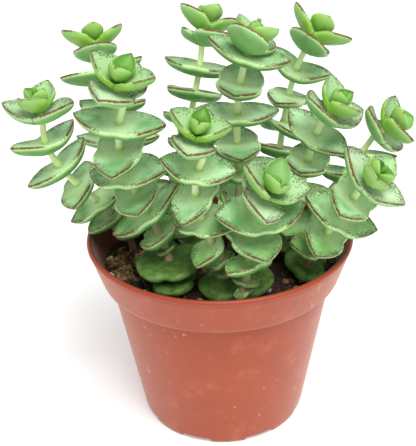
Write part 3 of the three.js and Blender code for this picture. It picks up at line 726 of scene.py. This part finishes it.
def pot_profile():
    """Radius and height of each ring of the pot, from the middle of its underside over the rim and back."""
    wall = np.linspace((BASE_RADIUS, 1.2), (BODY_TOP_RADIUS, COLLAR_STEP), 25)
    collar_foot = (COLLAR_FOOT_RADIUS, COLLAR_STEP + 1.6)
    collar = np.linspace(collar_foot, (COLLAR_TOP_RADIUS, POT_HEIGHT - BEAD_BAND), 13)
    outside = [
        (CENTRE_DISC_RADIUS, 0), (CENTRE_DISC_RADIUS + 2, FLOOR_LIFT), (FOOT_RING_RADIUS - 1.5, FLOOR_LIFT),
        (FOOT_RING_RADIUS, 0), (BASE_RADIUS - 1.2, 0), (BASE_RADIUS - 0.4, 0.4), *wall,
        (BODY_TOP_RADIUS + 0.3, COLLAR_STEP + 0.15), (COLLAR_FOOT_RADIUS - 1.2, COLLAR_STEP + 0.25),
        (COLLAR_FOOT_RADIUS - 0.4, COLLAR_STEP + 0.7), *collar,
    ]
    rim = [(RIM_RADIUS - BEAD_RADIUS * (1 - math.cos(a)), POT_HEIGHT - BEAD_RADIUS * (1 - math.sin(a)))
           for a in np.radians(np.linspace(-60, 200, 14))]
    inside = [
        (COLLAR_TOP_RADIUS - 1.5, POT_HEIGHT - 3), (COLLAR_FOOT_RADIUS - 1.5, COLLAR_STEP + WALL),
        (BODY_TOP_RADIUS - WALL - 0.1, COLLAR_STEP - 0.3), (BASE_RADIUS - 2.3, FLOOR_LIFT + WALL),
        (CENTRE_DISC_RADIUS + 3, FLOOR_LIFT + WALL), (CENTRE_DISC_RADIUS + 1, WALL),
    ]
    return outside + rim + inside


def ring_of(radius, heights, angles):
    flat = np.stack([radius * np.sin(angles), -radius * np.cos(angles)], 1)
    return np.hstack([flat, np.broadcast_to(heights, angles.shape)[:, None]])


def make_pot(material):
    angles = around(POT_SEGMENTS)
    pitch = 2 * np.pi / FEET
    turn = (angles - math.radians(FOOT_PHASE) + pitch / 4) % pitch
    slope = pitch * NOTCH_SLOPE
    gap = smooth_step((turn - pitch * 0.5) / slope) * smooth_step((pitch - turn) / slope)
    rings = []
    for radius, z in pot_profile():
        lifted = radius > CENTRE_DISC_RADIUS + 5 and z < FLOOR_LIFT
        heights = lerp(z, FLOOR_LIFT, gap) if lifted else z
        rings.append(ring_of(radius, heights, angles))
    body = Body()
    body.add(*skin(rings, (0, 0, 0), (0, 0, WALL)))
    piece = body.make("pot_moulded", [material])
    cut_drain_holes(piece)
    piece.data.set_sharp_from_angle(angle=math.radians(POT_SHARP_ANGLE))
    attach(piece, "root")
    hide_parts("pot")


def cut_drain_holes(piece):
    body = Body()
    angles = around(DRAIN_SIDES)
    for k in range(FEET):
        a = math.radians(FOOT_PHASE + 360 / FEET * k)
        centre = np.array([DRAIN_CIRCLE * math.sin(a), -DRAIN_CIRCLE * math.cos(a), 0])
        rings = [centre + ring_of(DRAIN_RADIUS, z, angles) for z in DRAIN_SPAN]
        body.add(*skin(rings, *(centre + [0, 0, z] for z in DRAIN_SPAN)))
    cutter = body.make("drain_cutter", [])
    modifier = piece.modifiers.new("drain", "BOOLEAN")
    modifier.operation = "DIFFERENCE"
    modifier.solver = "EXACT"
    modifier.object = cutter
    evaluated = piece.evaluated_get(bpy.context.evaluated_depsgraph_get())
    cut = bpy.data.meshes.new_from_object(evaluated)
    piece.modifiers.clear()
    piece.data = cut
    bpy.data.objects.remove(cutter)


# Soil

def rough_height(x, y):
    """Height of the soil, which follows the solid model's gentle waves with crumbly noise on them."""
    waves = SOIL_BUMP * math.sin(0.31 * x + 1.3) * math.cos(0.27 * y - 0.4)
    crumbly = sum(height * noise.noise(Vector((x * rate, y * rate, z))) for rate, height, z in SOIL_CRUMBS)
    return SOIL_TOP + waves + crumbly


def make_soil(material):
    angles = around(SOIL_SEGMENTS)
    floor = FLOOR_LIFT + WALL + SOIL_GAP
    side = [
        (CENTRE_DISC_RADIUS + 0.8, WALL + SOIL_GAP), (CENTRE_DISC_RADIUS + 2.8, floor),
        (BASE_RADIUS - 2.8, floor), (BODY_TOP_RADIUS - WALL - 0.6, COLLAR_STEP),
        (COLLAR_FOOT_RADIUS - 2, COLLAR_STEP + WALL + 0.3), (SOIL_RADIUS, SOIL_TOP - 0.9),
    ]
    rings = [ring_of(radius, z, angles) for radius, z in side]
    for radius in np.linspace(SOIL_RADIUS - 0.2, 0.6, SOIL_RINGS):
        ring = ring_of(radius, 0, angles)
        ring[:, 2] = [rough_height(x, y) for x, y in ring[:, :2]]
        rings.append(ring)
    body = Body()
    body.add(*skin(rings, (0, 0, WALL + SOIL_GAP), (0, 0, rough_height(0, 0))))
    piece = body.make("soil_packed", [material])
    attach(piece, "root")
    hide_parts("soil")


def icosphere(levels):
    """Points and faces of a ball of radius 1, by halving the faces of an icosahedron."""
    g = (1 + math.sqrt(5)) / 2
    points = [unit(np.roll((0, a, b), k)) for k in range(3) for a in (-1, 1) for b in (-g, g)]
    faces = []
    for face in combinations(range(len(points)), 3):
        if all(points[a] @ points[b] > 0 for a, b in combinations(face, 2)):
            faces.append(face if np.linalg.det([points[k] for k in face]) > 0 else face[::-1])
    for _ in range(levels):
        middles = {}
        finer = []
        for a, b, c in faces:
            sides = [frozenset(side) for side in ((a, b), (b, c), (c, a))]
            for side in sides:
                if side not in middles:
                    middles[side] = len(points)
                    points.append(unit(sum(points[k] for k in side)))
            ab, bc, ca = (middles[side] for side in sides)
            finer += [(a, ab, ca), (b, bc, ab), (c, ca, bc), (ab, bc, ca)]
        faces = finer
    return np.array(points), faces


def scatter(grain, material, balls):
    """Loose grains of one kind wherever no stem or leaf is in the way, all over the soil or in one patch."""
    random = np.random.default_rng(grain["seed"])
    ball, faces = icosphere(grain["levels"])
    body = Body("tint")
    made = 0
    while made < grain["count"]:
        a = random.uniform(0, 2 * np.pi)
        r = GRAIN_REACH * math.sqrt(random.uniform())
        size = random.uniform(*grain["sizes"])
        turn = Matrix.Rotation(random.uniform(0, 2 * np.pi), 3, random.normal(size=3))
        shape = random.uniform(*grain["stretch"], 3)
        centre = np.array([r * math.cos(a), r * math.sin(a), 0])
        if "patch" in grain:
            centre[:2] = random.normal(*grain["patch"])
            if math.hypot(centre[0], centre[1]) > GRAIN_REACH:
                continue
        centre[2] = rough_height(centre[0], centre[1]) + size * grain["lift"]
        if np.any(np.linalg.norm(balls[0] - centre, axis=1) < balls[1] + size):
            continue
        shift = random.uniform(0, 50, 3)
        bumps = np.array([noise.noise(Vector(p * 1.6 + shift)) for p in ball])
        lump = ball * (1 + grain["roughness"] * bumps[:, None]) * shape * size
        body.add(lump @ np.array(turn).T + centre, faces, tint=random.uniform(-1, 1))
        made += 1
    piece = body.make(grain["name"], [material], sharp=GRAIN_SHARP_ANGLE)
    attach(piece, "root")


# Materials

def colour(tone):
    """Scene colour from a screen colour."""
    shares = (int(tone[k:k + 2], 16) / 255 for k in (0, 2, 4))
    return (*(v / 12.92 if v <= 0.04045 else ((v + 0.055) / 1.055) ** 2.4 for v in shares), 1.0)


class Nodes:
    """A material and short ways to add nodes to it."""

    def __init__(self, name):
        self.material = bpy.data.materials.new(name)
        self.material.use_nodes = True
        self.tree = self.material.node_tree
        self.shader = self.tree.nodes["Principled BSDF"]
        self.place = self.add("ShaderNodeTexCoord").outputs["Object"]

    def put(self, node, key, value):
        if isinstance(value, bpy.types.NodeSocket):
            self.tree.links.new(value, node.inputs[key])
        else:
            node.inputs[key].default_value = value

    def add(self, kind, inputs=(), **settings):
        node = self.tree.nodes.new(kind)
        for key, value in settings.items():
            setattr(node, key, value)
        for key, value in dict(inputs).items():
            self.put(node, key, value)
        return node

    def attribute(self, name):
        return self.add("ShaderNodeAttribute", attribute_name=name).outputs["Fac"]

    def math(self, operation, a, b=0.0, c=0.0):
        return self.add("ShaderNodeMath", {0: a, 1: b, 2: c}, operation=operation).outputs[0]

    def times(self, *values):
        result = values[0]
        for value in values[1:]:
            result = self.math("MULTIPLY", result, value)
        return result

    def ramp(self, value, low, high, start=0.0, end=1.0):
        """Runs smoothly from start to end as the value goes from low to high."""
        inputs = {"Value": value, "From Min": low, "From Max": high, "To Min": start, "To Max": end}
        return self.add("ShaderNodeMapRange", inputs, interpolation_type="SMOOTHSTEP").outputs[0]

    def mix(self, factor, a, b, blend="MIX"):
        inputs = {0: factor, 6: a, 7: b}
        return self.add("ShaderNodeMix", inputs, data_type="RGBA", blend_type=blend).outputs[2]

    def over(self, base, factor, tone):
        """A screen colour laid over a base colour."""
        return self.mix(factor, base, colour(tone))

    def tones(self, factor, tones):
        """Colour between two screen colours."""
        return self.mix(factor, colour(tones[0]), colour(tones[1]))

    def noise(self, size, detail=2.0, rough=0.5):
        """Cloudy noise from 0 to 1 with features of a size in millimetres."""
        inputs = {"Vector": self.place, "Scale": 1 / (size * MM), "Detail": detail, "Roughness": rough}
        return self.add("ShaderNodeTexNoise", inputs).outputs["Fac"]

    def dots(self, size, outer, inner, share):
        """Dots in a share of random cells of a size in millimetres, fading from inner to outer."""
        cells = self.add("ShaderNodeTexVoronoi", {"Vector": self.place, "Scale": 1 / (size * MM)}).outputs
        number = self.add("ShaderNodeSeparateColor", {0: cells["Color"]}).outputs[0]
        return self.times(self.ramp(cells["Distance"], outer, inner), self.math("LESS_THAN", number, share))

    def bump(self, height, depth, strength=1.0):
        node = self.add("ShaderNodeBump", {"Height": height, "Distance": depth * MM, "Strength": strength})
        self.put(self.shader, "Normal", node.outputs[0])

    def glow_through(self, weight, radii, depth):
        """Light that enters and leaves again within a depth in millimetres, by red, green and blue."""
        self.put(self.shader, "Subsurface Weight", weight)
        self.put(self.shader, "Subsurface Radius", radii)
        self.put(self.shader, "Subsurface Scale", depth * MM)

    def finish(self, base, roughness, looks=()):
        for key, value in {"Base Color": base, "Roughness": roughness, **dict(looks)}.items():
            self.put(self.shader, key, value)
        return self.material


def leaf_face(n, along, age, tint):
    """Colour of a leaf's upper face by its age, without its marks."""
    cloud = n.math("MULTIPLY_ADD", tint, 0.1, n.noise(8, 3))
    height = n.add("ShaderNodeSeparateXYZ", {0: n.place}).outputs["Z"]
    low = n.ramp(height, LOW_LEAVES[1] * MM, LOW_LEAVES[0] * MM, 0, 0.7)
    patches = n.ramp(cloud, 0.32, 0.68)
    grown = n.mix(low, n.tones(patches, GROWN_FACE), n.tones(patches, LOW_FACE))
    # Painted light on the face near the stem, against the shade under the rosette above
    grown = n.over(grown, n.ramp(along, 0.55, 0.08, 0, 0.9), FACE_LIGHT_NEAR_STEM)
    inner = n.tones(n.ramp(along, 0.2, 0.9), INNER_FACE)
    second = n.tones(n.ramp(along, 0.08, 0.5), SECOND_FACE)
    outer = n.tones(n.ramp(cloud, 0.3, 0.7), OUTER_FACE)
    return by_age(n, age, inner, second, outer, grown)


def leaf_side(n, edge, along, age):
    """Colour of a leaf's side and underside by its age, without its marks; on grown and outer leaves the
    underside has painted shade.
    """
    cloud = n.noise(6, 3)
    # Painted shade: grown and outer leaves turn darker further under the ridge
    depth = n.ramp(edge, -0.8, -2.2)
    grown = n.mix(depth, n.tones(n.noise(5, 2), GROWN_RIM), n.tones(cloud, GROWN_UNDERSIDE_SHADE))
    inner = n.tones(n.ramp(along, 0.1, 0.9), INNER_SIDE)
    second = n.tones(n.ramp(along, 0.15, 0.85), SECOND_SIDE)
    outer = n.mix(depth, colour(OUTER_RIM), n.tones(cloud, OUTER_UNDERSIDE_SHADE))
    return by_age(n, age, inner, second, outer, grown)


def by_age(n, age, inner, second, outer, grown):
    young = n.mix(n.ramp(age, *SECOND_FROM), inner, second)
    young = n.mix(n.ramp(age, *OUTER_FROM), young, outer)
    return n.mix(n.ramp(age, *GROWN_FROM), young, grown)


def leaf_green(n, edge, along, age, tint):
    """Green of a leaf without its marks, from the face over the margin to the underside."""
    margin = n.times(n.ramp(edge, 2.2, 0.4), n.ramp(age, *GROWN_FROM), 0.5)
    face = n.over(leaf_face(n, along, age, tint), margin, MARGIN)
    green = n.mix(n.ramp(edge, -0.5, 0.1), leaf_side(n, edge, along, age), face)
    rim = n.times(n.ramp(edge, 1.8, -0.2), n.ramp(edge, -2.4, -0.8))
    shaded = n.over(n.tones(n.noise(5, 3), SHADED), rim, SHADED_RIM)
    green = n.mix(n.ramp(age, 0.98, 1.35, 0, 0.7), green, shaded)
    upper = n.tones(n.ramp(n.noise(3, 4, 0.6), 0.3, 0.7), DISC_FACE)
    disc = n.mix(n.ramp(edge, -3.5, -0.8), colour(DISC_SIDE), upper)
    return n.mix(n.ramp(age, *OLD_FROM), green, disc)


def pale_marks(n, green, edge, along, age, plain):
    """Painted shade in the crease at the stem, painted highlight on the crest of the margin, faint dots and
    pale flecks.
    """
    young = n.ramp(age, *GROWN_FROM, 1, 0)
    # Painted shade: a darker line in the crease at the stem
    crease_shade = n.times(n.ramp(along, 0.06, 0.01), n.ramp(edge, 3, 0.5), young, 0.5)
    green = n.over(green, crease_shade, CREASE_SHADE)
    # Painted highlight along the crest of the margin
    crest_highlight = n.times(n.ramp(edge, -1.4, -0.6), n.ramp(edge, 0.4, 0.05), plain)
    green = n.over(green, n.times(crest_highlight, n.ramp(age, *OUTER_FROM, 0.08, 0.4)), CREST_HIGHLIGHT)
    grown_side = n.times(n.ramp(edge, -1.4, 0), n.ramp(age, 0.5, 0.7))
    faint = n.times(n.dots(0.9, 0.45, 0.25, 0.3), plain, grown_side)
    green = n.over(green, n.times(faint, n.ramp(edge, 8, 3, 0.08, 0.3)), FAINT_DOTS)
    share = n.times(n.ramp(edge, 5, 0.5), n.ramp(edge, 0, 0.5), plain, n.ramp(age, 0.25, 0.6, 0, 0.5))
    return n.over(green, n.times(n.dots(0.7, 0.5, 0.3, share), 0.4), FLECKS)


def dark_dots(n, edge, along, age, tint, plain):
    """How much of a dark dot lies at each place: dots crowd at the margin and towards the tip."""
    cluster = n.ramp(n.noise(3, 2), 0.35, 0.6, 0.5, 1.3)
    band = n.times(n.ramp(edge, n.ramp(age, 0.86, 0.7, 3.6, 5.5), 0), n.ramp(edge, -1.1, -0.3))
    tipward = n.ramp(n.math("MULTIPLY_ADD", tint, 0.1, along), 0.15, 0.75)
    tipward = n.math("MAXIMUM", tipward, n.ramp(age, *GROWN_FROM, 0.7, 0))
    crowd = n.times(band, tipward, plain, cluster, n.ramp(age, 0.28, 0.6, 0, 1))
    spots = n.dots(0.58, 0.66, 0.38, n.times(crowd, 1.35))
    share = n.times(crowd, n.ramp(edge, 2.4, 0.2), 1.2)
    return n.math("MAXIMUM", spots, n.times(n.dots(0.4, 0.62, 0.42, share), 0.8))


def red_line(n, edge, along, age, tint, plain):
    """How much of the red-brown line along the margin lies at each place: broken, and solid at the tip."""
    wander = n.math("ADD", along, n.times(n.math("SUBTRACT", n.noise(7, 2), 0.5), 0.7))
    grown = n.ramp(age, *GROWN_FROM)
    start = n.add("ShaderNodeMix", {0: grown, 2: n.ramp(age, 0.46, 0.54, 0.5, 0.2), 3: 0.42}).outputs[0]
    past_start = n.math("SUBTRACT", n.math("MULTIPLY_ADD", tint, 0.12, wander), start)
    reach = n.ramp(past_start, -0.12, 0.3, 0, 0.72)
    broken = n.ramp(n.math("ADD", n.noise(0.9, 3, 0.65), reach), 0.62, 0.98)
    place = n.math("ADD", edge, n.times(n.math("SUBTRACT", n.noise(1.1, 3, 0.6), 0.5), 1.1))
    width = n.math("ADD", n.times(along, 0.3), n.ramp(age, 0.98, 1.3, -0.1, -0.4))
    line = n.times(n.ramp(n.math("SUBTRACT", place, width), 0.5, -0.3), n.ramp(place, -1.1, -0.7), plain)
    gaps = n.ramp(n.noise(2.4, 3, 0.6), 0.3, 0.55, 0.6, 1)
    line = n.times(line, broken, gaps, n.ramp(age, 0.22, 0.5, 0, 1), n.ramp(age, 1, 1.3, 1, 0.6))
    tip = n.times(n.ramp(along, 0.93, 0.985), n.ramp(edge, -1.4, -0.5), plain)
    return n.times(n.math("MAXIMUM", line, n.times(tip, n.ramp(age, 1.1, 1.5, 0.75, 0.3))), 0.92)


def leaf_material():
    n = Nodes("leaf")
    edge, along, age, tint = (n.attribute(name) for name in ("edge", "along", "age", "tint"))
    plain = n.ramp(age, *OLD_FROM, 1, 0)
    fine = n.noise(0.5, 2)
    green = pale_marks(n, leaf_green(n, edge, along, age, tint), edge, along, age, plain)
    dots = dark_dots(n, edge, along, age, tint, plain)
    share = n.times(dots, n.ramp(fine, 0.3, 0.7, 0.55, 0.95))
    green = n.mix(share, green, n.tones(n.ramp(edge, 2, 0.3), DARK_DOTS))
    green = n.mix(red_line(n, edge, along, age, tint, plain), green, n.tones(fine, RED_LINE))
    shade = n.math("MULTIPLY_ADD", tint, 0.05, 0.97)
    grey = n.add("ShaderNodeCombineColor", {0: shade, 1: shade, 2: shade}).outputs[0]
    base = n.mix(1, green, grey, "MULTIPLY")
    relief = n.math("SUBTRACT", n.times(fine, 0.5), dots)
    n.bump(n.math("MULTIPLY_ADD", n.noise(3.2, 2), 4, relief), 0.06, 0.7)
    n.glow_through(0.2, (0.9, 1, 0.6), 1.6)
    return n.finish(base, n.ramp(n.noise(7, 2), 0.2, 0.8, 0.46, 0.6), {"Specular IOR Level": 0.35})


def stalk_material():
    n = Nodes("stalk")
    along, socket = n.attribute("along"), n.attribute("edge")
    streaks = n.noise(2.5, 4)
    down = n.ramp(n.math("ADD", along, n.times(streaks, 0.2)), 0.5, 0.95)
    base = n.mix(down, n.tones(streaks, STALK_TOP), n.tones(streaks, STALK_FOOT))
    base = n.over(base, n.times(socket, n.ramp(along, 0.8, 0.5, 0.2, 0.8)), SOCKET_GREEN)
    n.bump(streaks, 0.12, 0.5)
    n.glow_through(0.15, (0.9, 1, 0.35), 1)
    return n.finish(base, 0.5)


def pot_material():
    n = Nodes("pot_plastic")
    x, y, height = n.add("ShaderNodeSeparateXYZ", {0: n.place}).outputs
    base = n.tones(n.noise(22, 3), PLASTIC)
    base = n.over(base, n.times(n.ramp(n.noise(9, 5, 0.65), 0.5, 0.8), 0.3), HAZE)
    scuffs = n.times(n.ramp(n.noise(2.4, 3, 0.55), 0.64, 0.72), n.ramp(n.noise(16, 2), 0.5, 0.66))
    base = n.over(base, n.times(scuffs, 0.5), SCUFFS)
    # Rim bead: painted shade on the inner half of the bead, running out to its brown on the outer half
    rim = n.ramp(height, (POT_HEIGHT - 2.4) * MM, (POT_HEIGHT - 1.6) * MM)
    radius = n.math("SQRT", n.math("ADD", n.times(x, x), n.times(y, y)))
    outward = n.ramp(radius, (RIM_RADIUS - 1.5) * MM, (RIM_RADIUS - 0.7) * MM)
    base = n.mix(rim, base, n.tones(outward, BEAD_WITH_LIP_SHADE))
    # Painted shade: the inner wall over the soil turns dark brown
    flare = (COLLAR_TOP_RADIUS - COLLAR_FOOT_RADIUS) / (COLLAR_HEIGHT - BEAD_BAND)
    middle = COLLAR_FOOT_RADIUS - WALL / 2 - flare * COLLAR_STEP
    depth = n.math("SUBTRACT", radius, n.times(height, flare))
    inside = n.times(n.ramp(depth, (middle + 0.2) * MM, (middle - 0.2) * MM), n.math("SUBTRACT", 1, rim),
                     n.math("GREATER_THAN", height, (SOIL_TOP - 1) * MM))
    base = n.mix(n.times(inside, 0.75), base, n.tones(n.noise(5, 4), INNER_WALL_SHADE))
    n.bump(n.noise(0.6, 3), 0.05, 0.5)
    sheen = {"Sheen Weight": 0.3, "Sheen Roughness": 0.4, "Sheen Tint": (1, 0.75, 0.62, 1)}
    return n.finish(base, n.ramp(scuffs, 0, 1, 0.44, 0.6), {"Specular IOR Level": 0.4, **sheen})


def earth_material(name):
    n = Nodes(name)
    shade = n.math("ADD", n.times(n.attribute("tint"), 0.3), n.noise(0.8, 4, 0.7))
    n.bump(n.noise(0.35, 4, 0.7), 0.3)
    return n.finish(n.tones(n.ramp(shade, 0.1, 0.9), EARTH[name]), 0.95)


def floor_material():
    n = Nodes("floor")
    glow = {"Emission Color": (1, 1, 1, 1), "Emission Strength": FLOOR_GLOW, "Specular IOR Level": 0}
    return n.finish(n.tones(n.noise(60, 2), FLOOR_WHITE), 0.8, glow)


# Studio

def make_camera():
    """A camera in front that looks down at its target and is rolled a little."""
    data = bpy.data.cameras.new("camera")
    data.sensor_width = SENSOR_WIDTH
    data.lens = SENSOR_WIDTH * FOCAL_PIXELS / IMAGE_HEIGHT
    data.clip_start = 0.01
    camera = add_object("camera", data)
    turn = Matrix.Rotation(math.radians(90 - CAMERA_ELEVATION), 4, "X")
    roll = Matrix.Rotation(math.radians(CAMERA_ROLL), 4, "Z")
    camera.matrix_world = turn @ roll
    camera.location = (Vector(CAMERA_TARGET) + turn.col[2].xyz * CAMERA_DISTANCE) * MM
    bpy.context.scene.camera = camera


def add_softbox():
    data = bpy.data.lights.new("key_softbox", "AREA")
    data.shape = "SQUARE"
    data.size = KEY_SIZE * MM
    data.energy = KEY_POWER
    lamp = add_object("key_softbox", data)
    lamp.location = Vector(KEY_PLACE) * MM
    lamp.rotation_euler = (Vector(KEY_AIM) * MM - lamp.location).to_track_quat("-Z", "Y").to_euler()


def make_studio():
    scene = bpy.context.scene
    scene.view_settings.view_transform = "Standard"
    world = bpy.data.worlds.new("studio")
    world.use_nodes = True
    sky = world.node_tree.nodes["Background"]
    sky.inputs["Color"].default_value = (1, 1, 1, 1)
    sky.inputs["Strength"].default_value = SKY_STRENGTH
    scene.world = world
    add_softbox()
    body = Body()
    corners = np.array([(-1, -1, 0), (1, -1, 0), (1, 1, 0), (-1, 1, 0)], float) * FLOOR_REACH
    body.add(corners, [(0, 1, 2, 3)])
    body.make("floor", [floor_material()])


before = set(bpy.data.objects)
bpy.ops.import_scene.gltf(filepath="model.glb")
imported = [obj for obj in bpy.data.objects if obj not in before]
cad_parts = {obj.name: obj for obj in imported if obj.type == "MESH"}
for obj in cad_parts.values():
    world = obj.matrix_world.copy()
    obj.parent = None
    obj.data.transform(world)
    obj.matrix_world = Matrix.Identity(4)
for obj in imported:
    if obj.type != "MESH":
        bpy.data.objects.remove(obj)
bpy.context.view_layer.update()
make_camera()
make_studio()
plants = [pairs_of(stem) for stem in STEMS]
balls = grow_leaves(plants)
make_stems(plants, leaf_material(), stalk_material())
make_pot(pot_material())
earth = {name: earth_material(name) for name in EARTH}
make_soil(earth["soil"])
for grain in GRAINS:
    scatter(grain, earth[grain["kind"]], balls)
